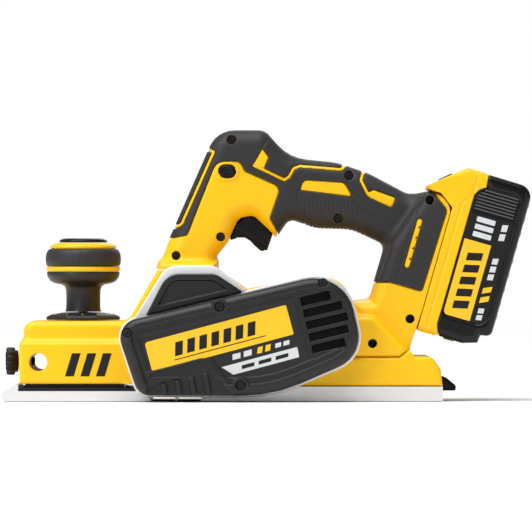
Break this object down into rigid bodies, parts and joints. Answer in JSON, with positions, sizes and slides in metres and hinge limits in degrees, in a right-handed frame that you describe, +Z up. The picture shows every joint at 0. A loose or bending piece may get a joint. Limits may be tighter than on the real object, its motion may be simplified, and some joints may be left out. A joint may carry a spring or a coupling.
{
  "type": "cordless hand planer",
  "caption": "Cordless electric hand planer with belt-driven cutter drum, sliding front sole set by a front knob, side chip chute, loop handle and slide-on battery.",
  "frame": {"origin": "on the rear sole's underside, on the tool's centre plane and half-way along its length", "axes": "-X towards the front of the tool, +Z up from the sole, -Y towards the belt cover's side"},
  "size_m": [0.3493, 0.13, 0.179],
  "materials": {
    "machined_aluminium": "machined, satin",
    "yellow_plastic": "fine texture",
    "black_plastic": "fine texture",
    "grip_rubber": "soft moulded",
    "rubber": "moulded",
    "silver_plate": "satin",
    "steel": "turned",
    "copper": "wound wire",
    "aluminium_dark": "cast",
    "cell_wrap": "shrink wrap"
  },
  "bodies": {
    "body": {"rear_shoe": "machined_aluminium", "base_frame": "yellow_plastic", "kickstand_pin": "steel", "chip_duct": "black_plastic", "chute_cap": "black_plastic", "side_plate": "silver_plate", "belt_cover": "black_plastic", "drive_belt": "rubber", "drum_bearing_left": "steel", "drum_bearing_right": "steel", "motor_stator": "copper", "motor_bearing_left": "steel", "motor_bearing_right": "steel", "housing_left": "yellow_plastic", "housing_right": "yellow_plastic", "grip_left": "grip_rubber", "grip_right": "grip_rubber", "terminal_block": "black_plastic", "controller": "aluminium_dark", "switch_module": "black_plastic", "switch_wires": "rubber", "shoe_spring": "steel", "housing_screw_1": "steel", "housing_screw_2": "steel", "housing_screw_3": "steel", "housing_screw_4": "steel", "housing_screw_5": "steel", "housing_screw_6": "steel", "housing_screw_7": "steel", "housing_screw_8": "steel", "cover_screw_1": "steel", "cover_screw_2": "steel", "cover_screw_3": "steel", "cover_screw_4": "steel"},
    "cutter": {"cutter_drum": "steel", "blade_1": "steel", "blade_2": "steel", "blade_clamp_1": "steel", "blade_clamp_2": "steel", "drum_pulley": "steel"},
    "armature": {"rotor": "steel", "cooling_fan": "black_plastic", "motor_pulley": "steel"},
    "infeed_shoe": {"front_shoe": "machined_aluminium", "shoe_carriage": "black_plastic"},
    "depth_control": {"depth_dial": "black_plastic", "depth_spindle": "steel", "knob_stem": "black_plastic", "knob_core": "yellow_plastic", "knob_grip": "grip_rubber", "knob_cap": "black_plastic"},
    "trigger": {"trigger": "black_plastic"},
    "lock_off": {"lock_off_button": "black_plastic"},
    "fence_clamp": {"fence_clamp_screw": "black_plastic"},
    "stand": {"kickstand": "black_plastic"},
    "battery": {"pack_upper_shell": "yellow_plastic", "pack_lower_shell": "black_plastic", "cell_block": "cell_wrap"},
    "battery_latch": {"pack_latch": "black_plastic"},
    "gauge": {"gauge_button": "grip_rubber"}
  },
  "joints": [
    {"name": "drum_spin", "type": "hinge", "parent": "body", "child": "cutter", "pos_m": [-0.0584, 0, 0.0236], "axis": [0, 1, 0], "continuous": true},
    {"name": "motor_spin", "type": "hinge", "parent": "body", "child": "armature", "pos_m": [0.0307, 0, 0.0528], "axis": [0, 1, 0], "continuous": true},
    {"name": "depth_knob_turn", "type": "hinge", "parent": "body", "child": "depth_control", "pos_m": [-0.1218, 0, 0.08], "axis": [0, 0, 1], "range_deg": [0, 300]},
    {"name": "front_shoe_lift", "type": "slide", "parent": "body", "child": "infeed_shoe", "axis": [0, 0, 1], "range_m": [0, 0.002], "deforming": ["shoe_spring"]},
    {"name": "trigger_pull", "type": "slide", "parent": "body", "child": "trigger", "axis": [0.25, 0, 0.9682], "range_m": [0, 0.0065], "stiffness_N_per_m": 500, "springref_m": -0.004},
    {"name": "lock_off_press", "type": "slide", "parent": "body", "child": "lock_off", "axis": [0, 1, 0], "range_m": [-0.003, 0.003], "stiffness_N_per_m": 300},
    {"name": "fence_clamp_turn", "type": "hinge", "parent": "body", "child": "fence_clamp", "pos_m": [-0.169, 0, 0.0257], "axis": [1, 0, 0], "range_deg": [0, 330]},
    {"name": "kickstand_swing", "type": "hinge", "parent": "body", "child": "stand", "pos_m": [0.106, 0, 0.014], "axis": [0, 1, 0], "range_deg": [0, 60], "stiffness_Nm_per_rad": 0.02, "springref_deg": -22.92},
    {"name": "battery_slide", "type": "slide", "parent": "body", "child": "battery", "axis": [0.2756, 0, 0.9613], "range_m": [0, 0.1]},
    {"name": "battery_release", "type": "slide", "parent": "battery", "child": "battery_latch", "axis": [0.4226, 0, -0.9063], "range_m": [0, 0.0025], "stiffness_N_per_m": 800, "springref_m": -0.003},
    {"name": "gauge_press", "type": "slide", "parent": "battery", "child": "gauge", "axis": [0.2756, 0, 0.9613], "range_m": [0, 0.0015], "stiffness_N_per_m": 400, "springref_m": -0.002}
  ],
  "couplings": [
    {"joint": "motor_spin", "follows": "drum_spin", "ratio": 1.5},
    {"joint": "depth_knob_turn", "follows": "front_shoe_lift", "rad_per_m": 2618}
  ]
}
